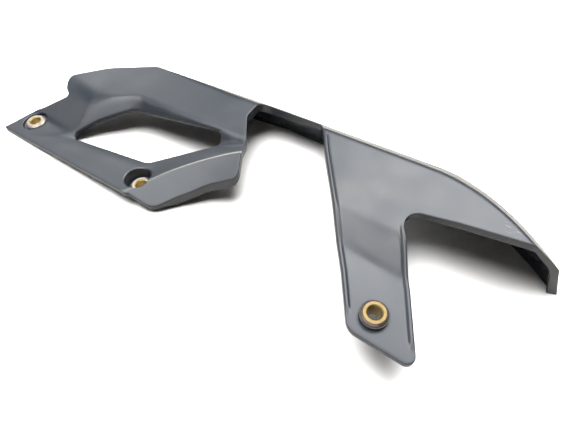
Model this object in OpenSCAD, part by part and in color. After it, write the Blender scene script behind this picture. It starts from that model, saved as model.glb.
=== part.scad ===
// Side guard for a final drive belt: one moulded plastic shell with a window, a roof over the
// belt run, a mounting leg, and three flanged steel collars held in rubber grommets.
// X runs along the straight fold of the roof towards the tail, Y towards the roof,
// Z away from the wheel. The origin is on the axis of the front collar, at its bottom face.

/* [Collar places] */
// Distance from the front collar to the middle collar
mid_x = 132; // [120:1:136]
// Distance from the front collar to the rear collar, along the guard
rear_x = 339; // [330:1:350]
// Distance of the rear collar below the line of the other two
rear_drop = 8.5; // [6:0.5:14]

/* [Collars] */
// Bore of each collar
collar_bore = 8.2; // [6:0.1:9]
// Diameter of the collar tube
collar_tube = 11; // [10:0.1:11.6]
// Diameter of the collar flange
flange_d = 16; // [14:0.5:17]
// Thickness of the collar flange
flange_t = 2.2; // [1.6:0.1:2.4]
// Chamfer round the flange
flange_chamfer = 1.3; // [0.4:0.1:1.4]
// Chamfer at the mouth of the bore
bore_chamfer = 0.8; // [0.3:0.1:1.2]
// Height of the front collar
front_collar_h = 6.2; // [6:0.1:7]
// Height of the middle collar
mid_collar_h = 7; // [6.4:0.1:8]
// Height of the rear collar
rear_collar_h = 12; // [11:0.5:14]

/* [Grommets] */
// Diameter of the grommet lips
lip_d = 17.6; // [16:0.2:19]
// Diameter of the groove that holds the moulding
groove_d = 13.6; // [13:0.1:15]
// Thickness of the grommet lips
lip_t = 1.2; // [1:0.1:1.4]
// Thickness of the moulding inside the grooves at the front and the middle
web = 1.6; // [1.4:0.1:1.8]
// Height of the raised upper lip of the rear grommet
rear_lip_t = 3; // [2:0.1:3.4]
// Clearance between a collar, its grommet and the moulding
fit = 0.1; // [0.05:0.05:0.2]

/* [Moulding] */
// Wall thickness
wall = 2.5; // [2:0.1:3]
// Depth of the return lips, measured from the outer face
lip_depth = 8; // [5:0.5:10]
// Depth of the lips round the low front edge and the leg
low_lip = 4.2; // [3:0.2:6]
// Depth of the lips along the tail
tail_lip = 6; // [4.5:0.5:9]
// Thickness of the return lips
lip_wall = 2; // [1.6:0.1:2.6]
// Height of the main face where the roof begins
face_h = 38; // [35:0.5:41]
// Rise of the main face towards the tail, per millimetre of length
face_rise = 0.06; // [0.04:0.01:0.07]
// Rise of the main face towards the roof, per millimetre of width
face_tilt = 0.05; // [0.02:0.01:0.07]
// Height of the low plate at the front collar
plate_h = 5.5; // [5.2:0.1:5.8]
// Rise of the low plate towards the middle collar, per millimetre of length
plate_rise = 0.075; // [0.06:0.005:0.09]
// Height of the foot of the leg
foot_h = 37.5; // [36:0.5:39]
// Slope of the dark flanks of the window
flank_slope = 1.3; // [1:0.1:1.6]
// Slope of the skirt below the crease
skirt_slope = 0.55; // [0.4:0.05:0.7]
// Radius of the crease in plan
crease_r = 140; // [130:1:150]
// Distance of the crease from the axis of the middle collar
crease_gap = 8.9; // [8.4:0.1:9.4]

/* [Outline] */
// Left end of the notch under the bridge
notch_x0 = 181; // [179:1:184]
// Right end of the notch under the bridge
notch_x1 = 236; // [230:1:240]
// Width of the roof bevel left over the notch
bridge_w = 5; // [4:0.5:8]
// Length of the moulding from the front collar to the end of the tail
tail_x = 397; // [390:1:402]
// Distance of the roof fold from the front collar, at the front
fold_y = 90; // [88:0.5:92]
// Width of the tail at its end
tail_end_w = 1; // [0.5:0.5:4]

/* [Roof] */
// Start of the roof
roof_x = 80; // [76:1:90]
// Width of the roof bevel over the bridge
bevel_w = 15; // [12:1:18]
// Drop of the bevel for each millimetre of its width
bevel_slope = 0.82; // [0.7:0.02:1]
// Further slope of the bevel, gained towards the end of the tail
end_slope = 0.27; // [0.1:0.01:0.35]
// Growth of the bevel towards the tail, per millimetre of length
bevel_growth = 0.019; // [0:0.001:0.03]
// Outward lean of the roof wall, from its top to its bottom edge
wall_lean = 11; // [8:0.5:13]
// Rake of the bevel at the end of the tail
bevel_rake = 13; // [8:1:16]
// Further rake of the roof wall at the end of the tail
wall_rake = 6; // [3:1:9]
// Width of the flange across the open end of the roof
end_flange_w = 6.5; // [4:0.5:9]
// Radius of the recess round the front collar
recess_r = 10.5; // [9.6:0.1:12]
// Radius of the pocket round the middle collar
pocket_r = 10.2; // [9.6:0.1:11]

/* [Hidden] */

front = [0, 0];
middle = [mid_x, 0];
rear = [rear_x, -rear_drop];

// Point where face_h is measured, and the change from the front part to the leg and tail
face_ref = [120, 95];
split_x = 215;

// Seats: the height of the moulding's upper side under each grommet lip
front_seat = front_collar_h - flange_t - lip_t;
mid_seat = mid_collar_h - flange_t - lip_t;
rear_top = foot_h + rear_lip_t + flange_t;

function unit(v) = v / norm(v);

// Shape of the outer face
function main_z(x, y) = face_h + face_rise * (x - face_ref[0]) + face_tilt * (y - face_ref[1]);
function plate_z(x) = plate_h + plate_rise * x;

// Foot of the slope that climbs from the low plate to the ear; it ends over the window
ear_slope = 0.75;
ear_turn_x = 47;
ear_end_x = 90;
function slope_foot(x) =
    x < ear_turn_x ? 10 - 0.064 * x : 7 + 0.357 * (min(x, ear_end_x) - ear_turn_x);
function ear_z(x, y) = plate_z(x) + ear_slope * (y - slope_foot(x));

// Strip between the window and the crease, a little below the main face at its top
strip_top = [notch_x0 + 18, 48];
strip_drop = 0.7;
strip_rise = 0.369;
strip_tilt = 0.015;
function strip_z(x, y) =
    main_z(strip_top[0], strip_top[1]) - strip_drop
    + strip_rise * (x - strip_top[0]) + strip_tilt * (y - strip_top[1]);

// Flanks of the window, rising steeply from its upper edges
function window_rim_z(x) = x < 83 ? 8 + 0.43 * (x - 48) : 23 + 0.084 * (x - 83);
function flank_z(x, y) =
    let (left = 0.697 * (y - 7) - 0.717 * (x - 48), top = y - 47 - 0.06 * (x - 83))
    window_rim_z(x) + flank_slope * max(left, top);

// Gentle slope from the low plate down to the lower edge of the window
function sill_z(x, y) = plate_z(x) - 3 + 0.3 * (0.989 * (5 - y) + 0.146 * (x - 48));

// Front part, inside the crease
function front_z(x, y) =
    min(main_z(x, y),
        max(plate_z(x), ear_z(x, y), strip_z(x, y)),
        max(flank_z(x, y), sill_z(x, y), strip_z(x, y)));

// Skirt that falls away beyond the crease, an arc round a point to the lower right
crease_side = [128, -76];
crease_c = middle + (crease_gap + crease_r) * unit(crease_side);
function skirt_z(x, y) =
    let (d = norm([x, y] - crease_c), k = crease_r / d, c = crease_c + k * ([x, y] - crease_c))
    min(main_z(c[0], c[1]), strip_z(c[0], c[1])) - skirt_slope * (crease_r - d);
function left_z(x, y) =
    norm([x, y] - crease_c) < crease_r ? min(front_z(x, y), skirt_z(x, y)) : front_z(x, y);

// Leg: the face drops in an S bend to the foot
bend_y0 = 20;
bend_y1 = 46;
function smooth(t) = let (c = max(0, min(1, t))) c * c * (3 - 2 * c);
function right_z(x, y) =
    let (t = smooth((y - bend_y0) / (bend_y1 - bend_y0))) main_z(x, y) * t + foot_h * (1 - t);

// Line of the roof fold: straight, then bending down towards the tail
fold_slope = 0.035;
fold_bend = 0.0047;
fold_bend_x = tail_x - 76;
function fold_line(x) = fold_y + fold_slope * x - fold_bend * pow(max(0, x - fold_bend_x), 2);
function fold_dir(x) = fold_slope - 2 * fold_bend * max(0, x - fold_bend_x);
function fold_normal(x) = [-fold_dir(x), 1] / norm([fold_dir(x), 1]);

// Bevel beyond the fold; it grows from next to nothing at the start of the roof
bevel_start_w = 0.4;
bevel_start_len = 110;
rake_len = 60;
function rake(x) = max(0, x - tail_x + rake_len) / rake_len;
function bevel(x) =
    let (start = min(1, (x - roof_x) / bevel_start_len))
    bevel_start_w + bevel_w * start + bevel_growth * max(0, x - roof_x - bevel_start_len);
function bevel_z(x, out) = main_z(x, fold_line(x)) - (bevel_slope + end_slope * rake(x)) * out;

function outer_z(x, y) =
    y > fold_line(x) ? bevel_z(x, (y - fold_line(x)) * fold_normal(x)[1]) :
    x < split_x ? left_z(x, y) : right_z(x, y);

// Depth of the return lip: less along the low front edge, the leg and the tail
low_end_x = mid_x + 38;
low_fade_x = 8;
low_edge_y = 8;
low_leg_y = 70;
low_fade_y = 16;
function lip_at(x, y) =
    let (edge = smooth((low_end_x - x) / low_fade_x) * smooth((low_edge_y - y) / low_fade_y),
         leg = smooth((low_leg_y - y) / low_fade_y))
    x < split_x ? lip_depth - (lip_depth - low_lip) * edge : tail_lip - (tail_lip - low_lip) * leg;

// Rounded polygon from points [x, y, radius]
function cut(v) = [v[0], v[1]];
function corner(a, b, c) =
    let (u = unit(cut(a) - cut(b)), v = unit(cut(c) - cut(b)),
         half = acos(max(-1, min(1, u * v))) / 2,
         reach = min(b[2] / tan(half), norm(cut(a) - cut(b)) / 2, norm(cut(c) - cut(b)) / 2),
         r = reach * tan(half), centre = cut(b) + unit(u + v) * r / sin(half),
         p = cut(b) + u * reach - centre, q = cut(b) + v * reach - centre,
         turn = 180 - 2 * half, steps = max(1, ceil(turn / 15)),
         side = p[0] * q[1] - p[1] * q[0] > 0 ? 1 : -1)
    [for (i = [0:steps]) let (t = side * turn * i / steps)
        centre + [p[0] * cos(t) - p[1] * sin(t), p[0] * sin(t) + p[1] * cos(t)]];
function rounded(pts) =
    let (n = len(pts))
    [for (i = [0:n - 1])
        let (b = pts[i])
        each b[2] > 0 ? corner(pts[(i + n - 1) % n], b, pts[(i + 1) % n]) : [cut(b)]];

// Stations along the roof: top edge of the wall, in plan, and its height
fold_count = 36;
fold_xs = [for (i = [0:fold_count]) roof_x + (tail_x - roof_x) * i / fold_count];
function roof_along(x) = let (n = fold_normal(x)) [n[1], -n[0]];
function roof_edge(x) =
    [x, fold_line(x)] + fold_normal(x) * bevel(x) + roof_along(x) * bevel_rake * rake(x);
function edge_z(x) = let (e = roof_edge(x)) outer_z(e[0], e[1]);

// Plan outline of the face
ear_points = [
    [-18.8, -19.6, 1.5],
    [-13, 10, 9],
    [19.6, 29.8, 2],
    [12, 34.3, 3],
    [8.6, 39, 5],
    [7, 45.6, 4],
    [31.5, 70, 60],
    [70, fold_line(70), 14],
];
tail_points = [
    [tail_x, fold_line(tail_x) - tail_end_w, 4],
    [rear_x + 16, -rear_drop + 77.2, 60],
    [rear_x - 19, -rear_drop + 69.2, 9],
];
leg_points = [
    [rear_x + 10, -rear_drop + 26.5, 60],
    [rear_x + 34.2, -rear_drop - 14.8, 5],
    [rear_x - 9, -rear_drop - 15.1, 11],
    [rear_x - 30.5, -rear_drop + 15, 80],
    [notch_x1 + 15, fold_line(notch_x1) - 19.5, 60],
];
notch_points = [
    [notch_x1 - 7, fold_line(notch_x1) + bevel(notch_x1) - bridge_w, 5],
    [notch_x0 - 3, fold_line(notch_x0) + bevel(notch_x0) - bridge_w, 8],
    [notch_x0 - 2.2, fold_line(notch_x0) - 15, 8],
    [notch_x0 + 12.4, 61.2, 12],
    [notch_x0 + 17.4, 48.5, 12],
    [notch_x0 + 24.4, 33.8, 6],
];
skirt_points = [
    [mid_x + 54, 21.7, 40],
    [mid_x + 36, 3, 30],
    [mid_x + 24, -12.8, 14],
    [mid_x + 4.5, -14.8, 1],
    [mid_x + 2, -16.8, 1],
];
roof_points = [for (x = fold_xs) let (e = roof_edge(x)) [e[0], e[1], 0]];
face_outline = concat(ear_points, roof_points, tail_points, leg_points, notch_points, skirt_points);

// Plan outline of the window
window_points = [
    [42.8, 4.1, 2.6],
    [60, 24.5, 30],
    [85, 48, 20],
    [notch_x0 + 5, 60.6, 4.6],
    [mid_x - 8, 16.6, 20],
];

// Grid that carries the outer face, fine over the front and coarser over the leg and tail.
// Each column runs from the lower edge to the fold, then on over the bevel.
grid_low = -32;
grid_rows = 21;
grid_xs = concat([for (x = [-24:5.5:split_x]) x], [for (x = [split_x + 1:9:tail_x + 35]) x]);
grid_outs = [4, 10, 18, 28, 40];
grid_ny = grid_rows + 1 + len(grid_outs);
function column(x) = concat(
    [for (i = [0:grid_rows]) [x, grid_low + (fold_line(x) - grid_low) * i / grid_rows]],
    [for (out = grid_outs) [x, fold_line(x) + out]]);
underside = 1;
skin = 0.5;
below = -5;

// Layer that follows the outer face from a depth under it, down to the lips' edge or right through
module layer(from, through) {
    nx = len(grid_xs);
    ny = grid_ny;
    n = nx * ny;
    tops = [for (x = grid_xs, p = column(x))
        [p[0], p[1], max(underside + skin, outer_z(p[0], p[1]) - from)]];
    bottoms = [for (p = tops)
        [p[0], p[1], through ? below : max(underside, min(p[2] - skin, p[2] - lip_at(p[0], p[1])))]];
    cells = [for (i = [0:nx - 2], j = [0:ny - 2]) i * ny + j];
    upper = [for (a = cells) each [[a, a + 1, a + ny + 1], [a, a + ny + 1, a + ny]]];
    lower = [for (f = upper) [n + f[2], n + f[1], n + f[0]]];
    x_sides = [for (j = [0:ny - 2])
        each [[j + 1, j, n + j, n + j + 1],
              [n - ny + j, n - ny + j + 1, 2 * n - ny + j + 1, 2 * n - ny + j]]];
    y_sides = [for (i = [0:nx - 2])
        let (a = i * ny, b = a + ny - 1)
        each [[a, a + ny, n + a + ny, n + a], [b + ny, b, n + b, n + b + ny]]];
    polyhedron(concat(tops, bottoms), concat(upper, lower, x_sides, y_sides), convexity = 8);
}

module plan(pts, inset = 0) {
    translate([0, 0, -20]) linear_extrude(height = 120) offset(delta = -inset) polygon(rounded(pts));
}

// Closed skin through a list of section loops
module loft(loops) {
    m = len(loops[0]);
    last = len(loops) - 1;
    sides = [for (i = [0:last - 1], j = [0:m - 1])
        let (a = i * m + j, b = i * m + (j + 1) % m)
        each [[a, b, b + m], [a, b + m, a + m]]];
    polyhedron(
        [for (loop = loops) each loop],
        concat([[for (j = [m - 1:-1:0]) j]], sides, [[for (j = [0:m - 1]) last * m + j]]),
        convexity = 6);
}

// Roof wall: it leans outward from the edge of the bevel, and its top is sunk in the lip there.
// Its foot comes down to the ground from the start of the roof on.
roof_start_len = 30;
roof_start_h = 5;
wall_sink = 0.3;
wall_top_gap = 1;
function wall_foot_z(x) = (edge_z(x) - roof_start_h) * max(0, 1 - (x - roof_x) / roof_start_len);
function wall_foot(x) =
    let (spread = fold_normal(x) * wall_lean + roof_along(x) * wall_rake * rake(x))
    roof_edge(x) + spread * (1 - wall_foot_z(x) / edge_z(x));
function wall_loop(x) =
    let (out = fold_normal(x), a = roof_edge(x) - out * wall_sink, w = wall_foot(x),
         b = a - out * wall, v = w - out * wall, top = edge_z(x) - wall_top_gap, foot = wall_foot_z(x))
    [
        [a[0], a[1], top],
        [w[0], w[1], foot],
        [v[0], v[1], foot],
        [b[0], b[1], top - wall_top_gap],
    ];
module roof_wall() loft([for (x = fold_xs) wall_loop(x)]);

// Flange across the open end of the roof, standing in from the end of the wall
module end_flange() {
    e = roof_edge(tail_x) - fold_normal(tail_x) * wall_sink;
    w = wall_foot(tail_x) - fold_normal(tail_x) * wall_sink;
    along = unit(w - [tail_x, fold_line(tail_x)]);
    behind = [-along[1], along[0]] * lip_wall;
    loft([for (end = [[e, edge_z(tail_x) - 2 * wall_top_gap], [w, skin]])
        [for (p = [[0, 0], behind, behind - along * end_flange_w, -along * end_flange_w])
            [end[0][0] + p[0], end[0][1] + p[1], end[1]]]]);
}

// Face with its return lips, before the window is cut
module face() {
    difference() {
        intersection() {
            layer(0, false);
            plan(face_outline);
        }
        intersection() {
            layer(wall, true);
            plan(face_outline, inset = lip_wall);
        }
    }
}

// Seat for the front grommet, in a shallow recess: it thickens the low plate from below
boss_rim = 1.5;
boss_cover = 1;
module front_boss() {
    bottom = front_seat - web;
    translate([0, 0, bottom])
        cylinder(r = recess_r + boss_rim, h = plate_h - boss_cover - bottom, $fn = 64);
}

// Wall and floor of the pocket round the middle grommet
module pocket_wall() {
    translate(middle) intersection() {
        translate([0, 0, mid_seat - web]) cylinder(r = pocket_r + wall, h = 60, $fn = 64);
        translate(-middle) layer(0.5, true);
    }
}

// Raised rim along a long edge of the leg, between two points of its outline
bead_d = 3.4;
bead_rise = 0.7;
bead_inset = 2;
bead_step = 16;
module bead(from, to) {
    along = unit(cut(to) - cut(from));
    side = [along[1], -along[0]] * bead_inset;
    count = ceil(norm(cut(to) - cut(from)) / bead_step);
    points = [for (i = [0:count]) cut(from) + side + (cut(to) - cut(from)) * i / count];
    for (i = [0:count - 1])
        hull() {
            bead_ball(points[i]);
            bead_ball(points[i + 1]);
        }
}
module bead_ball(p) {
    translate([p[0], p[1], right_z(p[0], p[1]) + bead_rise - bead_d / 2]) sphere(d = bead_d, $fn = 8);
}

// The rims stop short of the leg's corners
rim_top = cut(tail_points[2]) + [6, -8.9];
rim_foot_right = cut(leg_points[1]) + [-5, 8.6];
rim_foot_left = cut(leg_points[2]) + [-4.9, 6.8];

module guard_body() color([0.27, 0.28, 0.31]) {
    difference() {
        union() {
            face();
            roof_wall();
            end_flange();
            front_boss();
            pocket_wall();
            bead(rim_top, leg_points[0]);
            bead(leg_points[0], rim_foot_right);
            bead(rim_foot_left, leg_points[3]);
            bead(leg_points[3], leg_points[4]);
        }
        plan(window_points);
        translate([0, 0, front_seat]) cylinder(r = recess_r, h = 20, $fn = 64);
        translate([mid_x, 0, mid_seat]) cylinder(r = pocket_r, h = 40, $fn = 64);
        for (c = [front, middle, rear])
            translate([c[0], c[1], -1]) cylinder(d = groove_d + 2 * fit, h = 60, $fn = 48);
    }
}

// Flanged collar of turned steel: height, flange on top, chamfered bore
module collar(h) {
    r = flange_d / 2;
    b = collar_bore / 2;
    rotate_extrude($fn = 96) polygon([
        [b, 0],
        [collar_tube / 2, 0],
        [collar_tube / 2, h - flange_t],
        [r, h - flange_t],
        [r, h - flange_chamfer],
        [r - flange_chamfer, h],
        [b + bore_chamfer, h],
        [b, h - bore_chamfer],
    ]);
}

// Rubber grommet: a sleeve round the collar, with a lip above and a lip below the moulding
module grommet(seat, above, web, below) {
    inner = collar_tube / 2 + fit;
    groove = groove_d / 2;
    outer = lip_d / 2;
    rotate_extrude($fn = 96) polygon([
        [inner, seat - web - below],
        [outer, seat - web - below],
        [outer, seat - web],
        [groove, seat - web],
        [groove, seat],
        [outer, seat],
        [outer, seat + above],
        [inner, seat + above],
    ]);
}

steel = [0.80, 0.72, 0.50];
rubber = [0.08, 0.08, 0.09];

module front_collar() color(steel) translate(front) collar(front_collar_h);
module middle_collar() color(steel) translate(middle) collar(mid_collar_h);
module rear_collar() color(steel)
    translate([rear[0], rear[1], rear_top - rear_collar_h]) collar(rear_collar_h);

module front_grommet() color(rubber) translate(front) grommet(front_seat, lip_t, web, lip_t);
module middle_grommet() color(rubber) translate(middle) grommet(mid_seat, lip_t, web, lip_t);
module rear_grommet() color(rubber) translate(rear) grommet(foot_h, rear_lip_t, wall, lip_t);

guard_body();
front_collar();
middle_collar();
rear_collar();
front_grommet();
middle_grommet();
rear_grommet();
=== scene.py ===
import math

import bmesh
import bpy
import numpy as np
from mathutils import Matrix, Vector, kdtree
from mathutils.geometry import delaunay_2d_cdt


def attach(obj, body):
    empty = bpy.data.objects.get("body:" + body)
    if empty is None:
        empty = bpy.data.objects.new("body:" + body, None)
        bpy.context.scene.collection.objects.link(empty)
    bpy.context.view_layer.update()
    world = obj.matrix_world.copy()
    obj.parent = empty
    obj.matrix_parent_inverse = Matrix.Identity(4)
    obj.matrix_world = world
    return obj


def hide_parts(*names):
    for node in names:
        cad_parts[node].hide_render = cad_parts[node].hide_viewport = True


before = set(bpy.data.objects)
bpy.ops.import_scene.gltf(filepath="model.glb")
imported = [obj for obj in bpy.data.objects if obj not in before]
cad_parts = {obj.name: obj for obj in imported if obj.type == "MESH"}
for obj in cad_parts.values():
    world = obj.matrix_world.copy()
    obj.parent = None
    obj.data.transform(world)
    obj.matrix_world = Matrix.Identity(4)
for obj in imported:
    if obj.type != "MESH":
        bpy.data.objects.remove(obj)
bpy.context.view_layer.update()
MM = 0.001

# Sizes of the moulding, in millimetres, in the frame of the CAD model

MID_X = 132.0
REAR = (339.0, -8.5)
WALL = 2.5
LIP_DEPTH = 8.0
LOW_LIP = 4.2
TAIL_LIP = 6.0
LIP_WALL = 2.0
FACE_H = 38.0
FACE_RISE = 0.06
FACE_TILT = 0.05
FACE_REF = (120.0, 95.0)
PLATE_H = 5.5
PLATE_RISE = 0.075
FOOT_H = 37.5
FLANK_SLOPE = 1.3
STRIP_FROM_NOTCH = 18.0
STRIP_REF_Y = 48.0
STRIP_DROP = 0.7
STRIP_RISE = 0.369
STRIP_TILT = 0.015
EAR_SLOPE = 0.75
EAR_FOOT_Y = 10.0
EAR_FOOT_FALL = 0.064
EAR_TURN_X = 47.0
EAR_TURN_Y = 7.0
EAR_FOOT_RISE = 0.357
EAR_END_X = 90.0
WINDOW_TIP = (48.0, 7.0)
WINDOW_TOP = (83.0, 47.0)
WINDOW_TOP_RISE = 0.06
TIP_RIM_H = 8.0
TIP_RIM_RISE = 0.43
TOP_RIM_H = 23.0
TOP_RIM_RISE = 0.084
SILL_REF = (48.0, 5.0)
SILL_DROP = 3.0
SILL_SLOPE = 0.3
LEG_BEND_Y = 20.0
LEG_BEND_LEN = 26.0
LEG_TOP_Y = 70.0
SKIRT_SLOPE = 0.55
CREASE_R = 140.0
CREASE_GAP = 8.9
CREASE_SIDE = np.array([128.0, -76.0])
NOTCH_X0 = 181.0
NOTCH_X1 = 236.0
BRIDGE_W = 5.0
TAIL_X = 397.0
FOLD_Y = 90.0
FOLD_SLOPE = 0.035
FOLD_BEND = 0.0047
FOLD_BEND_X = TAIL_X - 76.0
TAIL_END_W = 1.0
ROOF_X = 80.0
BEVEL_W = 15.0
BEVEL_SLOPE = 0.82
END_SLOPE = 0.27
BEVEL_GROWTH = 0.019
BEVEL_START_W = 0.4
BEVEL_START_LEN = 110.0
WALL_LEAN = 11.0
BEVEL_RAKE = 13.0
WALL_RAKE = 6.0
RAKE_LEN = 60.0
ROOF_START_H = 5.0
ROOF_START_LEN = 30.0
ROOF_WALL = 2.3
END_FLANGE_W = 6.6
WEB = 1.6
FRONT_SEAT = 2.8
MID_SEAT = 3.6
RECESS_R = 10.5
POCKET_R = 10.2
GROOVE_R = 6.9
SPLIT_X = 215.0
UNDERSIDE = 1.0

# Roundings that the plain solids leave out

EDGE_ROUND = 0.9
WALL_ROUND = 1.6
FOLD_ROUND = 2.6
WINDOW_ROUND = 1.0
FOOT_CHAMFER = 0.3


# Shape of the outer face

def soft_min(a, b, k):
    """The lower of two heights, blended over a width of k."""
    h = np.clip(0.5 + 0.5 * (b - a) / k, 0, 1)
    return b + (a - b) * h - k * h * (1 - h)


def soft_max(a, b, k):
    return -soft_min(-a, -b, k)


def smooth(t):
    """Eases from 0 to 1 while t goes from 0 to 1."""
    t = np.clip(t, 0, 1)
    return t * t * (3 - 2 * t)


def unit(v):
    return v / np.linalg.norm(v)


def lerp(a, b, t):
    return a + (b - a) * t


CREASE_C = np.array([MID_X, 0.0]) + (CREASE_GAP + CREASE_R) * unit(CREASE_SIDE)


def main_z(x, y):
    return FACE_H + FACE_RISE * (x - FACE_REF[0]) + FACE_TILT * (y - FACE_REF[1])


def plate_z(x):
    return PLATE_H + PLATE_RISE * x


def strip_z(x, y):
    """Strip between the window and the crease."""
    ref_x = NOTCH_X0 + STRIP_FROM_NOTCH
    return (main_z(ref_x, STRIP_REF_Y) - STRIP_DROP + STRIP_RISE * (x - ref_x)
            + STRIP_TILT * (y - STRIP_REF_Y))


def ear_z(x, y):
    """Slope from the low plate up to the main face."""
    past_turn = EAR_TURN_Y + EAR_FOOT_RISE * (np.minimum(x, EAR_END_X) - EAR_TURN_X)
    foot = np.where(x < EAR_TURN_X, EAR_FOOT_Y - EAR_FOOT_FALL * x, past_turn)
    return plate_z(x) + EAR_SLOPE * (y - foot)


def flank_z(x, y):
    """Steep flank that rises from the left and upper edges of the window."""
    from_tip = x - WINDOW_TIP[0]
    from_top = x - WINDOW_TOP[0]
    rim = np.where(from_top < 0, TIP_RIM_H + TIP_RIM_RISE * from_tip, TOP_RIM_H + TOP_RIM_RISE * from_top)
    left = 0.697 * (y - WINDOW_TIP[1]) - 0.717 * from_tip
    top = y - WINDOW_TOP[1] - WINDOW_TOP_RISE * from_top
    return rim + FLANK_SLOPE * soft_max(left, top, 5.0)


def sill_z(x, y):
    """Slope that falls away to the lower edge of the window."""
    away = 0.989 * (SILL_REF[1] - y) + 0.146 * (x - SILL_REF[0])
    return plate_z(x) - SILL_DROP + SILL_SLOPE * away


def skirt_z(x, y):
    """Skirt that falls away from the arc of the crease."""
    d = np.hypot(x - CREASE_C[0], y - CREASE_C[1])
    k = CREASE_R / d
    cx = CREASE_C[0] + k * (x - CREASE_C[0])
    cy = CREASE_C[1] + k * (y - CREASE_C[1])
    return soft_min(main_z(cx, cy), strip_z(cx, cy), 1.0) - SKIRT_SLOPE * (CREASE_R - d)


def left_z(x, y):
    """Front part, with a wider blend between the main face and the ear."""
    strip = strip_z(x, y)
    outer = soft_max(soft_max(plate_z(x), ear_z(x, y), 4.0), strip, 1.5)
    inner = soft_max(soft_max(flank_z(x, y), sill_z(x, y), 3.0), strip, 1.5)
    blend = 3.0 + 5.0 * smooth((70 - x) / 30)
    z = soft_min(soft_min(main_z(x, y), outer, blend), inner, 2.0)
    return soft_min(z, skirt_z(x, y), 0.6)


def right_z(x, y):
    """Leg and tail: level at the foot, then the main face."""
    t = smooth((y - LEG_BEND_Y) / LEG_BEND_LEN)
    return main_z(x, y) * t + FOOT_H * (1 - t)


# Fold of the roof, and the bevel beyond it

def fold_line(x):
    return FOLD_Y + FOLD_SLOPE * x - FOLD_BEND * np.maximum(0, x - FOLD_BEND_X) ** 2


def fold_normal(x):
    d = FOLD_SLOPE - 2 * FOLD_BEND * np.maximum(0, x - FOLD_BEND_X)
    return np.stack([-d, np.ones_like(d)], -1) / np.hypot(d, 1)[..., None]


def rake(x):
    return np.maximum(0, x - TAIL_X + RAKE_LEN) / RAKE_LEN


def bevel(x):
    start = np.minimum(1, (x - ROOF_X) / BEVEL_START_LEN)
    return BEVEL_START_W + BEVEL_W * start + BEVEL_GROWTH * np.maximum(0, x - ROOF_X - BEVEL_START_LEN)


def bevel_z(x, out):
    return main_z(x, fold_line(x)) - (BEVEL_SLOPE + END_SLOPE * rake(x)) * out


def roof_edge(x):
    """Top edge of the roof wall in plan, at stations x along the fold."""
    x = np.asarray(x, float)
    n = fold_normal(x)
    along = np.stack([n[..., 1], -n[..., 0]], -1)
    fold = np.stack([x, fold_line(x)], -1)
    return fold + n * bevel(x)[..., None] + along * (BEVEL_RAKE * rake(x))[..., None]


# Raised rims along the long edges of the leg, each with a fine groove inside it

LEG_RIGHT = np.array([(REAR[0] - 13, REAR[1] + 60.3), (REAR[0] + 10, REAR[1] + 26.5),
                      (REAR[0] + 28.7, REAR[1] - 5.4)])
LEG_LEFT = np.array([(NOTCH_X1 + 3, fold_line(NOTCH_X1) - 2.8), (NOTCH_X1 + 15, fold_line(NOTCH_X1) - 19.5),
                     (REAR[0] - 30.5, REAR[1] + 15), (REAR[0] - 14, REAR[1] - 8.2)])
RIM_RISE = 0.7
RIM_IN = 1.6
RIM_W = 1.1
RIM_FADE = 6.0
GROOVE_DEPTH = 0.4
GROOVE_IN = 3.3
GROOVE_W = 0.4


def along_path(x, y, path):
    """Distance from a polyline, place along it, and its length."""
    best = np.full(np.shape(x), 1e9)
    place = np.zeros(np.shape(x))
    start = 0.0
    for a, b in zip(path, path[1:]):
        length = np.linalg.norm(b - a)
        ux, uy = (b - a) / length
        s = np.clip((x - a[0]) * ux + (y - a[1]) * uy, 0, length)
        d = np.hypot(x - a[0] - s * ux, y - a[1] - s * uy)
        place = np.where(d < best, start + s, place)
        best = np.minimum(best, d)
        start += length
    return best, place, start


def rim_z(x, y):
    total = 0.0
    for path in (LEG_LEFT, LEG_RIGHT):
        d, s, length = along_path(x, y, path)
        fade = smooth(s / RIM_FADE) * smooth((length - s) / RIM_FADE)
        total = total + fade * (RIM_RISE * np.exp(-((d - RIM_IN) / RIM_W) ** 2)
                                - GROOVE_DEPTH * np.exp(-((d - GROOVE_IN) / GROOVE_W) ** 2))
    return total


def outer_z(x, y):
    x, y = np.asarray(x, float), np.asarray(y, float)
    base = np.where(x < SPLIT_X, left_z(x, y), right_z(x, y)) + rim_z(x, y)
    out = (y - fold_line(x)) * fold_normal(x)[..., 1]
    fold_round = 0.01 + FOLD_ROUND * smooth((x - ROOF_X + 5) / 40)
    return soft_min(base, bevel_z(x, out), fold_round)


def lip_at(x, y):
    """Depth of the return lip: less along the low front edge, the leg and the tail."""
    edge = smooth((MID_X + 38 - x) / 8) * smooth((8 - y) / 16)
    leg = smooth((LEG_TOP_Y - y) / 16)
    return np.where(x < SPLIT_X, lerp(LIP_DEPTH, LOW_LIP, edge), lerp(TAIL_LIP, LOW_LIP, leg))


# Plan outlines. A point is x, y, radius and station: its place along the fold, or LIP off the roof wall.

LIP = -1.0


def corner(a, b, c, radius, step):
    """Points along the round at b, between the sides to a and c."""
    a, b, c = (np.array(p[:2], float) for p in (a, b, c))
    u, v = unit(a - b), unit(c - b)
    half = math.acos(max(-1, min(1, float(u @ v)))) / 2
    reach = min(radius / math.tan(half), np.linalg.norm(a - b) / 2, np.linalg.norm(c - b) / 2)
    r = reach * math.tan(half)
    centre = b + unit(u + v) * r / math.sin(half)
    p, q = b + u * reach - centre, b + v * reach - centre
    turn = math.pi - 2 * half
    steps = max(2, math.ceil(turn * r / step), math.ceil(turn / math.radians(12)))
    side = 1 if p[0] * q[1] - p[1] * q[0] > 0 else -1
    out = []
    for i in range(steps + 1):
        t = side * turn * i / steps
        out.append(centre + np.array([p[0] * math.cos(t) - p[1] * math.sin(t),
                                      p[0] * math.sin(t) + p[1] * math.cos(t)]))
    return out


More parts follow.
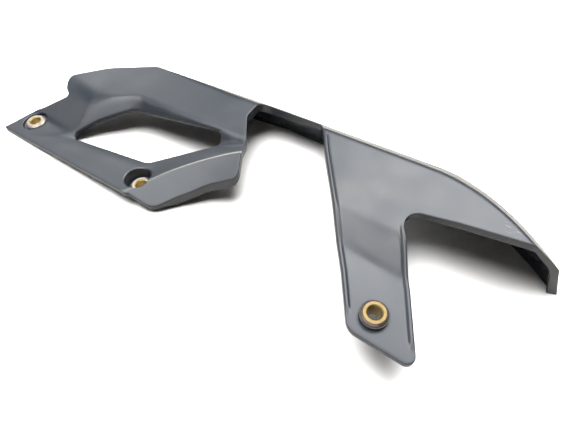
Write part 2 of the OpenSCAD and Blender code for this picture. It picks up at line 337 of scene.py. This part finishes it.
def rounded(points, step):
    """Closed outline with its corners rounded and no side longer than step, and the stations."""
    loop = []
    for i, b in enumerate(points):
        if b[2] > 0:
            around = corner(points[i - 1], b, points[(i + 1) % len(points)], b[2], step)
            loop += [(p, b[3]) for p in around]
        else:
            loop.append((np.array(b[:2], float), b[3]))
    out, stations = [], []
    for (p, a), (q, b) in zip(loop, loop[1:] + loop[:1]):
        length = np.linalg.norm(q - p)
        if length < 1e-4:
            continue
        count = max(1, math.ceil(length / step))
        for j in range(count):
            t = j / count
            out.append(p + (q - p) * t)
            stations.append(a + (b - a) * t if a > 0 and b > 0 else (a if j == 0 else LIP))
    return np.array(out), np.array(stations)


END_CORNER = roof_edge(TAIL_X)
END_TIP = np.array([TAIL_X, fold_line(TAIL_X) - TAIL_END_W])


def face_points():
    x0, x1, (rx, ry) = NOTCH_X0, NOTCH_X1, REAR
    ear = [(-18.8, -19.6, 1.5), (-13, 10, 9), (19.6, 29.8, 2), (12, 34.3, 3), (8.6, 39, 5),
           (7, 45.6, 4), (31.5, 70, 60), (70, fold_line(70), 14)]
    roof = [(*roof_edge(x), 0, x) for x in np.linspace(ROOF_X, TAIL_X, 160)]
    end_steps = (0.4, 2.5, 4.5, END_FLANGE_W, END_FLANGE_W + 0.25, 7.4, 8.2, 9.4, 11, 13)
    end = [(*(END_CORNER + unit(END_TIP - END_CORNER) * s), 0) for s in end_steps]
    tail = [(*END_TIP, 4), (rx + 16, ry + 77.2, 60), (rx - 19, ry + 69.2, 9)]
    leg = [(rx + 10, ry + 26.5, 60), (rx + 34.2, ry - 14.8, 5), (rx - 9, ry - 15.1, 11),
           (rx - 30.5, ry + 15, 80), (x1 + 15, fold_line(x1) - 19.5, 60)]
    notch = [(x1 - 7, fold_line(x1) + bevel(x1) - BRIDGE_W, 5),
             (x0 - 3, fold_line(x0) + bevel(x0) - BRIDGE_W, 8),
             (x0 - 2.2, fold_line(x0) - 15, 8), (x0 + 12.4, 61.2, 12),
             (x0 + 17.4, 48.5, 12), (x0 + 24.4, 33.8, 6)]
    skirt = [(MID_X + 54, 21.7, 40), (MID_X + 36, 3, 30), (MID_X + 24, -12.8, 14),
             (MID_X + 4.5, -14.8, 1.2), (MID_X + 2, -16.8, 1.2)]
    return [(*p, LIP) for p in ear] + roof + [(*p, LIP) for p in end + tail + leg + notch + skirt]


def window_points():
    return [(42.8, 4.1, 2.6, LIP), (60, 24.5, 30, LIP), (85, 48, 20, LIP),
            (NOTCH_X0 + 5, 60.6, 4.6, LIP), (MID_X - 8, 16.6, 20, LIP)]


def circle(centre, r, count):
    a = np.linspace(0, 2 * math.pi, count, endpoint=False)
    return np.stack([centre[0] + r * np.cos(a), centre[1] + r * np.sin(a)], -1)


def inward_normals(loop):
    """Unit normals of a closed loop, pointing to its inside."""
    nxt, prv = np.roll(loop, -1, 0), np.roll(loop, 1, 0)
    e1, e2 = loop - prv, nxt - loop
    e1 /= np.linalg.norm(e1, axis=1)[:, None]
    e2 /= np.linalg.norm(e2, axis=1)[:, None]
    t = e1 + e2
    t /= np.linalg.norm(t, axis=1)[:, None]
    area = 0.5 * np.sum(loop[:, 0] * nxt[:, 1] - nxt[:, 0] * loop[:, 1])
    sign = 1 if area > 0 else -1
    miter = np.clip(1 / np.maximum(0.5, np.abs(np.sum(t * e1, 1))), 1, 1.4)
    return sign * np.stack([-t[:, 1], t[:, 0]], -1) * miter[:, None]


def inside(points, loop):
    """Which points lie inside a closed loop."""
    x, y = points[:, 0], points[:, 1]
    hit = np.zeros(len(points), bool)
    for (x0, y0), (x1, y1) in zip(loop, np.roll(loop, -1, 0)):
        if y0 == y1:
            continue
        crosses = (y0 > y) != (y1 > y)
        hit ^= crosses & (x < (x1 - x0) * (y - y0) / (y1 - y0) + x0)
    return hit


# The shell: a triangulated top and underside, joined by a rounded edge and lip all round

GRID = 2.2
EDGE_STEP = 1.6


def spread(points, seeds, gap):
    """Points that keep a gap from the seeds."""
    tree = kdtree.KDTree(len(seeds))
    for i, p in enumerate(seeds):
        tree.insert((p[0], p[1], 0), i)
    tree.balance()
    return np.array([p for p in points if tree.find((p[0], p[1], 0))[2] > gap])


def guide_rows(outer, holes):
    """Rows of points where the face turns: the crease, the fold, the rims of the leg, the edges."""
    rows = []
    a = np.arange(math.radians(100), math.radians(190), 1.3 / CREASE_R)
    for off in (-4, -2.6, -1.5, -0.8, -0.3, 0.3, 0.8, 1.5, 2.6, 4):
        r = CREASE_R + off
        rows.append((np.stack([CREASE_C[0] + r * np.cos(a), CREASE_C[1] + r * np.sin(a)], -1), 0.45))
    on_leg = np.minimum(along_path(outer[:, 0], outer[:, 1], LEG_LEFT)[0],
                        along_path(outer[:, 0], outer[:, 1], LEG_RIGHT)[0]) < 1.5
    normals = inward_normals(outer)
    for off in (0.5, 1.0, 1.6, 2.05, 2.5, 2.95, 3.4, 4.2, 5.4):
        rows.append((outer[on_leg] + normals[on_leg] * off, 0.38))
    x = np.arange(ROOF_X + 2, TAIL_X + 24, 1.6)
    for off in (-5, -3.2, -1.6, 0, 1.6, 3.2, 5):
        rows.append((np.stack([x, fold_line(x)], -1) + fold_normal(x) * off, 0.9))
    for off in (1.2, 2.6, 4.2):
        rows.append((outer + normals * off, 0.85))
        for hole in holes:
            rows.append((hole - inward_normals(hole) * off, 0.85))
    return rows


def triangulate(outer, holes):
    """Points and triangles of the face, and the place of each outline point among them."""
    loops = [outer] + holes
    seeds = np.concatenate(loops)
    edges, start = [], 0
    for loop in loops:
        n = len(loop)
        edges += [(start + i, start + (i + 1) % n) for i in range(n)]
        start += n

    def within(points):
        ok = inside(points, outer)
        for hole in holes:
            ok &= ~inside(points, hole)
        return ok

    for row, gap in guide_rows(outer, holes):
        kept = spread(row[within(row)], seeds, gap)
        if len(kept):
            seeds = np.concatenate([seeds, kept])
    gx, gy = np.meshgrid(np.arange(-20, 430, GRID), np.arange(-30, 125, GRID))
    gx = gx + (np.arange(gx.shape[0]) % 2)[:, None] * GRID / 2
    grid = np.stack([gx.ravel(), gy.ravel()], -1)
    grid = spread(grid[within(grid)], seeds, GRID * 0.62)
    points = np.concatenate([seeds, grid])
    result = delaunay_2d_cdt([Vector(p) for p in points], edges, [], 0, 1e-5)
    out = np.array([(v.x, v.y) for v in result[0]])
    place = {s: i for i, sources in enumerate(result[3]) for s in sources}
    tris = np.array([f for f in result[2] if len(f) == 3])
    return out, tris[within(out[tris].mean(1))], place


class Shell:
    """Collects vertices in millimetres and faces, and turns them into one object."""

    def __init__(self):
        self.verts = []
        self.faces = []
        self.count = 0

    def add(self, xy, z):
        """Adds points and returns their indices."""
        points = np.column_stack([xy, z])
        first = self.count
        self.verts.append(points)
        self.count += len(points)
        return np.arange(first, self.count)

    def bridge(self, rings):
        """Faces between closed rings of indices of equal length."""
        for a, b in zip(rings, rings[1:]):
            for j in range(len(a)):
                k = (j + 1) % len(a)
                self.faces.append((int(a[j]), int(a[k]), int(b[k]), int(b[j])))

    def build(self, name, sharp_deg):
        mesh = bpy.data.meshes.new(name)
        mesh.from_pydata((np.concatenate(self.verts) * MM).tolist(), [], self.faces)
        bm = bmesh.new()
        bm.from_mesh(mesh)
        bmesh.ops.remove_doubles(bm, verts=bm.verts, dist=2e-6)
        bmesh.ops.recalc_face_normals(bm, faces=bm.faces)
        bm.to_mesh(mesh)
        bm.free()
        mesh.validate()
        mesh.shade_smooth()
        mesh.set_sharp_from_angle(angle=math.radians(sharp_deg))
        obj = bpy.data.objects.new(name, mesh)
        bpy.context.scene.collection.objects.link(obj)
        return obj


def wall_foot(stations, edge, z_edge):
    """Foot of the roof wall: it comes down to the ground, and leans outward as it does."""
    n = fold_normal(stations)
    along = np.stack([n[:, 1], -n[:, 0]], -1)
    start = (z_edge - ROOF_START_H) * np.clip(1 - (stations - ROOF_X) / ROOF_START_LEN, 0, 1)
    z = np.maximum(0, np.minimum(start, z_edge - LIP_DEPTH))
    spread_xy = n * WALL_LEAN + along * (WALL_RAKE * rake(stations))[:, None]
    return edge + spread_xy * (1 - z / z_edge)[:, None], z


END_ARC = 8.0
END_LIP = 8.5


def edge_foot(edge, stations, z_edge):
    """Where the wall under each point of the outline ends, in plan and in height."""
    foot = edge.copy()
    foot_z = np.maximum(UNDERSIDE, z_edge - lip_at(edge[:, 0], edge[:, 1]))
    on_end = (stations < 0) & (edge[:, 0] > TAIL_X + 0.3)
    # Flange of the open end: full height beside the corner, then a round into the lip of the tail
    s = np.linalg.norm(edge - END_CORNER, axis=1)
    u = np.clip((s - END_FLANGE_W) / END_ARC, 0, 1)
    lip = lerp(END_LIP, TAIL_LIP, smooth((s - END_FLANGE_W - END_ARC) / 10))
    depth = lip + END_ARC * (1 - np.sqrt(1 - (1 - u) ** 2))
    depth = np.where(s <= END_FLANGE_W + 0.01, z_edge, np.minimum(depth, z_edge))
    lean = wall_foot(np.full(len(edge), TAIL_X), edge, z_edge)[0] - edge
    foot[on_end] = (edge + lean * (depth / z_edge)[:, None])[on_end]
    foot_z[on_end] = (z_edge - depth)[on_end]
    on_roof = stations > 0
    roof_xy, roof_z = wall_foot(stations[on_roof], edge[on_roof], z_edge[on_roof])
    foot[on_roof], foot_z[on_roof] = roof_xy, roof_z
    return foot, foot_z


def bend(a, b, c, t):
    """Point on a curve that leaves a towards b and reaches c from b."""
    return (1 - t) ** 2 * a + 2 * t * (1 - t) * b + t * t * c


def add_edge(shell, edge, stations, inset, thick, first, place, top, low):
    """Rounded edge, outside of the lip or wall, its foot, and its inside."""
    inward = inward_normals(edge)
    z_edge = outer_z(edge[:, 0], edge[:, 1])
    foot, foot_z = edge_foot(edge, stations, z_edge)
    start = edge + inward * inset[:, None]
    a = np.column_stack([start, outer_z(start[:, 0], start[:, 1])])
    b = np.column_stack([edge, z_edge])
    f = np.column_stack([foot, foot_z])
    length = np.linalg.norm(f - b, axis=1)
    c = b + (f - b) * (np.minimum(inset * 1.1, 0.4 * length) / length)[:, None]
    idx = np.array([place[first + i] for i in range(len(edge))])
    rings = [top[idx]]
    for t in (0.17, 0.34, 0.5, 0.66, 0.83, 1.0):
        p = bend(a, b, c, t)
        rings.append(shell.add(p[:, :2], p[:, 2]))
    chamfer = np.minimum(FOOT_CHAMFER / length, 0.1)[:, None]
    in3 = np.column_stack([inward * thick[:, None], np.zeros(len(edge))])
    profile = (lerp(c, f, 0.5), lerp(f, b, chamfer), f + in3 * 0.15, f + in3 * 0.85,
               lerp(f + in3, b + in3, chamfer))
    for p in profile:
        rings.append(shell.add(p[:, :2], p[:, 2]))
    inner = edge + in3[:, :2]
    inner_z = np.maximum(outer_z(inner[:, 0], inner[:, 1]) - WALL, UNDERSIDE)
    inner_z = np.maximum(inner_z, foot_z)
    rings.append(shell.add(inner, inner_z))
    rings.append(low[idx])
    shell.bridge(rings)


def add_rim(shell, loop, outward, rim_r, drops, first, place, top, low):
    """Small round and plain wall round the window."""
    idx = np.array([place[first + i] for i in range(len(loop))])
    rings = [top[idx]]
    for a in np.linspace(0, math.pi / 2, 5)[1:]:
        p = loop + outward * rim_r * math.sin(a)
        rings.append(shell.add(p, outer_z(p[:, 0], p[:, 1]) - rim_r * (1 - math.cos(a))))
    p = loop + outward * rim_r
    for drop in drops:
        rings.append(shell.add(p, outer_z(p[:, 0], p[:, 1]) - drop))
    rings.append(low[idx])
    shell.bridge(rings)


def add_well(shell, centre, loop, r, rim_r, seat, first, place, top, low):
    """Recess or pocket: round rim, wall, flat floor with the grommet's hole, and the boss below."""
    centre = np.array(centre, float)
    rays = (loop - centre) / (r + rim_r)
    idx = np.array([place[first + i] for i in range(len(loop))])
    flat = np.ones(len(loop))
    rings = [top[idx]]
    for a in np.linspace(0, math.pi / 2, 5)[1:]:
        p = loop - rays * rim_r * math.sin(a)
        rings.append(shell.add(p, outer_z(p[:, 0], p[:, 1]) - rim_r * (1 - math.cos(a))))
    floor_r = 0.6
    for a in (0.0, math.pi / 4, math.pi / 2):
        p = centre + rays * (r - floor_r * (1 - math.cos(a)))
        rings.append(shell.add(p, flat * (seat + floor_r * (1 - math.sin(a)))))
    boss_low = np.maximum(outer_z(loop[:, 0], loop[:, 1]) - WALL, UNDERSIDE)
    for p, z in ((centre + rays * GROOVE_R, flat * seat),
                 (centre + rays * GROOVE_R, flat * (seat - WEB)),
                 (centre + rays * (r + 1.0), flat * (seat - WEB)),
                 (loop, np.minimum(boss_low, seat - WEB + 0.6))):
        rings.append(shell.add(p, z))
    rings.append(low[idx])
    shell.bridge(rings)


def build_body():
    shell = Shell()
    edge, stations = rounded(face_points(), EDGE_STEP)
    on_roof = stations > 0
    to_corner = np.linalg.norm(edge - END_CORNER, axis=1)
    inset = np.minimum(np.where(on_roof, WALL_ROUND, EDGE_ROUND), 0.1 + 0.4 * to_corner)
    thick = np.where(on_roof, ROOF_WALL, LIP_WALL)
    outer = edge + inward_normals(edge) * inset[:, None]
    window, _ = rounded(window_points(), EDGE_STEP)
    window_out = inward_normals(window)
    recess_rim, pocket_rim, rear_rim = 1.2, 1.6, 0.3
    holes = [window - window_out * WINDOW_ROUND, circle((0, 0), RECESS_R + recess_rim, 72),
             circle((MID_X, 0), POCKET_R + pocket_rim, 72), circle(REAR, GROOVE_R + rear_rim, 64)]
    points, tris, place = triangulate(outer, holes)
    z = outer_z(points[:, 0], points[:, 1])
    top = shell.add(points, z)
    low = shell.add(points, np.maximum(z - WALL, UNDERSIDE))
    for a, b, c in tris:
        shell.faces.append((int(top[a]), int(top[b]), int(top[c])))
        shell.faces.append((int(low[c]), int(low[b]), int(low[a])))

    add_edge(shell, edge, stations, inset, thick, 0, place, top, low)
    first = len(outer)
    add_rim(shell, holes[0], window_out, WINDOW_ROUND, (WALL * 0.6, WALL), first, place, top, low)
    first += len(holes[0])
    add_well(shell, (0, 0), holes[1], RECESS_R, recess_rim, FRONT_SEAT, first, place, top, low)
    first += len(holes[1])
    add_well(shell, (MID_X, 0), holes[2], POCKET_R, pocket_rim, MID_SEAT, first, place, top, low)
    first += len(holes[2])
    rays = (holes[3] - np.array(REAR)) / (GROOVE_R + rear_rim)
    rim = np.array(REAR) + rays * GROOVE_R
    idx = np.array([place[first + i] for i in range(len(rim))])
    flat = np.ones(len(rim))
    rim_top = shell.add(rim, flat * (FOOT_H - rear_rim))
    rim_low = shell.add(rim, flat * (FOOT_H - WALL))
    shell.bridge([top[idx], rim_top, rim_low, low[idx]])
    return shell.build("moulded_guard", 40)


body = build_body()
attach(body, "root")
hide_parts("guard_body")


# Materials. Places and radii of the marks are in millimetres, like the sizes above.

LEG_DUST, LEG_DUST_R = (305, 50), 55
SCUFFS, SCUFFS_R = (385, 82), 14
# Painted highlight and wear along the crease: centre and reach of its patch, and width of the pale line
CREASE_LIGHT_CENTRE, CREASE_LIGHT_REACH = (175, 40), 90
CREASE_LIGHT_WIDTH = 1.1
GOLD_R = 4.4
REAR_GOLD_R = 6.2
GOLD_FADE = 1.2
RUST_START = 5.6
RUST_FULL = 6.6
SILVER, CREAM = (0.42, 0.385, 0.34), (0.20, 0.165, 0.165)
GOLD, DARK_GOLD = (0.34, 0.245, 0.09), (0.21, 0.155, 0.068)


class Nodes:
    """Short names for building a node material."""

    def __init__(self, name):
        self.mat = bpy.data.materials.new(name)
        self.mat.use_nodes = True
        self.tree = self.mat.node_tree
        self.tree.nodes.clear()
        self.out = self.tree.nodes.new("ShaderNodeOutputMaterial")
        self.bsdf = self.tree.nodes.new("ShaderNodeBsdfPrincipled")
        self.link(self.bsdf.outputs[0], self.out.inputs[0])
        self.coord = self.tree.nodes.new("ShaderNodeTexCoord").outputs["Object"]

    def link(self, a, b):
        self.tree.links.new(a, b)

    def value(self, socket, v):
        if isinstance(v, (int, float)):
            socket.default_value = v
        elif isinstance(v, (tuple, list)):
            alpha = (1.0,) * (len(socket.default_value) - len(v))
            socket.default_value = tuple(v) + alpha
        else:
            self.link(v, socket)

    def noise(self, scale, detail=3.0, rough=0.5, coord=None):
        n = self.tree.nodes.new("ShaderNodeTexNoise")
        self.link(coord or self.coord, n.inputs["Vector"])
        n.inputs["Scale"].default_value = scale
        n.inputs["Detail"].default_value = detail
        n.inputs["Roughness"].default_value = rough
        return n.outputs["Fac"]

    def ramp(self, fac, lo, hi, a=0.0, b=1.0):
        n = self.tree.nodes.new("ShaderNodeMapRange")
        n.interpolation_type = "SMOOTHSTEP"
        self.link(fac, n.inputs["Value"])
        for key, v in (("From Min", lo), ("From Max", hi), ("To Min", a), ("To Max", b)):
            n.inputs[key].default_value = v
        return n.outputs["Result"]

    def math(self, op, a, b=0.0):
        n = self.tree.nodes.new("ShaderNodeMath")
        n.operation = op
        self.value(n.inputs[0], a)
        self.value(n.inputs[1], b)
        return n.outputs[0]

    def mix(self, fac, a, b):
        n = self.tree.nodes.new("ShaderNodeMix")
        n.data_type = "RGBA"
        self.value(n.inputs[0], fac)
        self.value(n.inputs[6], a)
        self.value(n.inputs[7], b)
        return n.outputs[2]

    def bump(self, height, strength, distance):
        n = self.tree.nodes.new("ShaderNodeBump")
        n.inputs["Strength"].default_value = strength
        n.inputs["Distance"].default_value = distance
        self.link(height, n.inputs["Height"])
        return n.outputs[0]

    def distance(self, point):
        """Metres to a point given in millimetres, or to an upright line through x and y."""
        n = self.tree.nodes.new("ShaderNodeVectorMath")
        n.operation = "MULTIPLY"
        self.link(self.coord, n.inputs[0])
        n.inputs[1].default_value = (1, 1, 1 if len(point) == 3 else 0)
        d = self.tree.nodes.new("ShaderNodeVectorMath")
        d.operation = "DISTANCE"
        self.link(n.outputs[0], d.inputs[0])
        d.inputs[1].default_value = tuple(c * MM for c in point) + (0.0,) * (3 - len(point))
        return d.outputs["Value"]

    def patch(self, point, r):
        """1 near an upright line through a point, falling to 0 at a radius in millimetres."""
        return self.ramp(self.distance(point), 0.0, r * MM, 1.0, 0.0)


def plastic():
    m = Nodes("satin_plastic")
    base, dusty = (0.010, 0.0135, 0.0185), (0.016, 0.020, 0.025)
    cloud = m.ramp(m.noise(14.0, 4.0), 0.42, 0.68)
    colour = m.mix(cloud, base, dusty)
    # Brownish dust over the middle of the leg
    leg_dust = m.math("MULTIPLY", m.patch(LEG_DUST, LEG_DUST_R), m.ramp(m.noise(30.0, 4.0), 0.35, 0.7))
    colour = m.mix(m.math("MULTIPLY", leg_dust, 0.4), colour, (0.07, 0.06, 0.05))
    # Fine pale scuffs on the tail
    scratch = m.tree.nodes.new("ShaderNodeMapping")
    scratch.inputs["Scale"].default_value = (60, 420, 60)
    scratch.inputs["Rotation"].default_value = (0, 0, 0.5)
    m.link(m.coord, scratch.inputs["Vector"])
    lines = m.ramp(m.noise(4.0, 4.0, 0.7, scratch.outputs[0]), 0.58, 0.7)
    scuff = m.math("MULTIPLY", lines, m.patch(SCUFFS, SCUFFS_R))
    colour = m.mix(m.math("MULTIPLY", scuff, 0.35), colour, (0.45, 0.45, 0.47))
    # Painted highlight along the crease, with some wear: a pale line where the crease's small round catches
    # light
    ring = m.math("ABSOLUTE", m.math("SUBTRACT", m.distance(tuple(CREASE_C)), CREASE_R * MM))
    crease_highlight_and_wear = m.math("MULTIPLY", m.ramp(ring, 0.0, CREASE_LIGHT_WIDTH * MM, 1.0, 0.0), m.patch(CREASE_LIGHT_CENTRE, CREASE_LIGHT_REACH))
    colour = m.mix(m.math("MULTIPLY", crease_highlight_and_wear, 0.6), colour, (0.30, 0.29, 0.26))
    m.value(m.bsdf.inputs["Base Color"], colour)
    # The grain loses its effect where the surface is seen almost edge on
    edge_on = m.tree.nodes.new("ShaderNodeLayerWeight")
    edge_on.inputs["Blend"].default_value = 0.5
    rough = m.ramp(m.noise(40.0, 4.0), 0.3, 0.7, 0.33, 0.42)
    rough = m.math("MULTIPLY", rough, m.ramp(edge_on.outputs["Facing"], 0.72, 0.92, 1.0, 0.6))
    m.value(m.bsdf.inputs["Roughness"], rough)
    m.bsdf.inputs["Specular IOR Level"].default_value = 0.6
    grain = m.noise(2600.0, 2.0)
    m.value(m.bsdf.inputs["Normal"], m.bump(grain, 0.12, 0.0002))
    return m.mat


def plated_steel(name, ring, gold_r, worn_colour, gold):
    """Steel with worn yellow plating, left around the hole at ring up to gold_r."""
    m = Nodes(name)
    past_gold = m.ramp(m.distance(ring), gold_r * MM, (gold_r + GOLD_FADE) * MM)
    worn = m.math("MULTIPLY", past_gold, m.ramp(m.noise(260.0, 4.0, 0.6), 0.30, 0.50))
    colour = m.mix(worn, gold, worn_colour)
    specks = m.ramp(m.noise(500.0, 4.0, 0.6), 0.56, 0.66)
    rust = m.math("MULTIPLY", specks, m.ramp(m.distance(ring), RUST_START * MM, RUST_FULL * MM))
    m.value(m.bsdf.inputs["Base Color"], m.mix(m.math("MULTIPLY", rust, 0.7), colour, (0.20, 0.10, 0.06)))
    m.value(m.bsdf.inputs["Metallic"], m.math("SUBTRACT", 1.0, m.math("MULTIPLY", rust, 0.6)))
    m.value(m.bsdf.inputs["Roughness"], m.ramp(m.noise(600.0), 0.3, 0.7, 0.42, 0.6))
    m.value(m.bsdf.inputs["Normal"], m.bump(m.noise(1500.0), 0.15, 0.0001))
    return m.mat


def black_rubber():
    m = Nodes("black_rubber")
    m.value(m.bsdf.inputs["Base Color"], m.mix(m.noise(300.0), (0.012, 0.012, 0.013), (0.03, 0.03, 0.03)))
    m.bsdf.inputs["Roughness"].default_value = 0.7
    m.value(m.bsdf.inputs["Normal"], m.bump(m.noise(1800.0), 0.1, 0.0001))
    return m.mat


def dress(obj, mat):
    obj.data.materials.clear()
    obj.data.materials.append(mat)


dress(body, plastic())
dress(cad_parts["front_collar"], plated_steel("front_steel", (0, 0), GOLD_R, SILVER, GOLD))
dress(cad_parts["middle_collar"], plated_steel("middle_steel", (MID_X, 0), GOLD_R, SILVER, GOLD))
dress(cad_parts["rear_collar"], plated_steel("rear_steel", REAR, REAR_GOLD_R, CREAM, DARK_GOLD))
rubber = black_rubber()
for name in ("front_grommet", "middle_grommet", "rear_grommet"):
    dress(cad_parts[name], rubber)


# Floor, light and camera, in metres

FLOOR_HALF = 1.7
LIGHT_AIM = (0.2, 0.05, 0.0)


def stage_material():
    m = Nodes("pale_floor")
    pale = m.mix(m.noise(3.0), (0.80, 0.79, 0.78), (0.82, 0.81, 0.80))
    ray = m.tree.nodes.new("ShaderNodeLightPath")
    seen = m.mix(ray.outputs["Is Glossy Ray"], pale, (0.40, 0.385, 0.355))
    m.value(m.bsdf.inputs["Base Color"], seen)
    m.bsdf.inputs["Roughness"].default_value = 0.8
    m.bsdf.inputs["Specular IOR Level"].default_value = 0.2
    return m.mat


def make_floor():
    mesh = bpy.data.meshes.new("floor")
    s = FLOOR_HALF
    mesh.from_pydata([(-s, -s, 0), (s, -s, 0), (s, s, 0), (-s, s, 0)], [], [(0, 1, 2, 3)])
    floor = bpy.data.objects.new("floor", mesh)
    bpy.context.scene.collection.objects.link(floor)
    dress(floor, stage_material())


def area_light(name, place, size, radiance, diffuse=True, gloss=True):
    """Soft panel that faces the middle of the part, for matt light, for reflections or both."""
    data = bpy.data.lights.new(name, "AREA")
    data.shape = "RECTANGLE"
    data.size, data.size_y = size
    data.energy = radiance * math.pi * size[0] * size[1]
    lamp = bpy.data.objects.new(name, data)
    bpy.context.scene.collection.objects.link(lamp)
    lamp.location = place
    lamp.rotation_euler = (Vector(LIGHT_AIM) - Vector(place)).to_track_quat("-Z", "Y").to_euler()
    lamp.visible_diffuse = diffuse
    lamp.visible_glossy = gloss


def make_world(strength):
    world = bpy.data.worlds.new("studio")
    bpy.context.scene.world = world
    world.use_nodes = True
    tree = world.node_tree
    tree.nodes.clear()
    out = tree.nodes.new("ShaderNodeOutputWorld")
    back = tree.nodes.new("ShaderNodeBackground")
    back.inputs[0].default_value = (1.0, 0.90, 0.86, 1)
    back.inputs[1].default_value = strength
    white = tree.nodes.new("ShaderNodeBackground")
    white.inputs[0].default_value = (1, 1, 1, 1)
    ray = tree.nodes.new("ShaderNodeLightPath")
    seen = tree.nodes.new("ShaderNodeMixShader")
    tree.links.new(ray.outputs["Is Camera Ray"], seen.inputs[0])
    tree.links.new(back.outputs[0], seen.inputs[1])
    tree.links.new(white.outputs[0], seen.inputs[2])
    tree.links.new(seen.outputs[0], out.inputs[0])


CAMERA_PLACE = (0.36157, -0.11833, 0.278)
LOOK = (-0.5786, 0.8156)
PITCH_DEG = 54.6
ROLL_DEG = -1.0
FOCAL_PX = 450.0
IMAGE_W = 585


def make_camera():
    data = bpy.data.cameras.new("camera")
    data.sensor_fit = "HORIZONTAL"
    data.sensor_width = 36.0
    data.lens = data.sensor_width * FOCAL_PX / IMAGE_W
    data.clip_start = 0.01
    camera = bpy.data.objects.new("camera", data)
    bpy.context.scene.collection.objects.link(camera)
    p, r = math.radians(PITCH_DEG), math.radians(ROLL_DEG)
    forward = Vector((LOOK[0] * math.cos(p), LOOK[1] * math.cos(p), -math.sin(p)))
    right = forward.cross(Vector((0, 0, 1))).normalized()
    up = right.cross(forward)
    x_axis = math.cos(r) * right + math.sin(r) * up
    y_axis = -math.sin(r) * right + math.cos(r) * up
    rot = Matrix((x_axis, y_axis, -forward)).transposed()
    camera.matrix_world = Matrix.Translation(CAMERA_PLACE) @ rot.to_4x4()
    bpy.context.scene.camera = camera


make_floor()
make_world(0.04)
area_light("overhead", (0.05, 0.16, 1.3), (1.1, 1.1), 18.0, gloss=False)
area_light("left_fill", (-1.1, -0.1, 0.75), (0.9, 0.6), 5.0, gloss=False)
area_light("back_sheen", (0.33, 0.92, 1.18), (1.6, 0.95), 8.0, diffuse=False)
area_light("top_sheen", (-0.35, 0.12, 1.35), (1.2, 0.5), 8.0, diffuse=False)
area_light("left_sheen", (-1.2, 0.65, 0.8), (0.8, 0.6), 3.0, diffuse=False)
area_light("front_sheen", (0.15, -0.60, 1.0), (1.6, 0.8), 5.0, diffuse=False)
area_light("ear_sheen", (-1.0, -0.5, 0.5), (0.5, 0.5), 1.8, diffuse=False)
make_camera()
bpy.context.scene.view_settings.view_transform = "Standard"
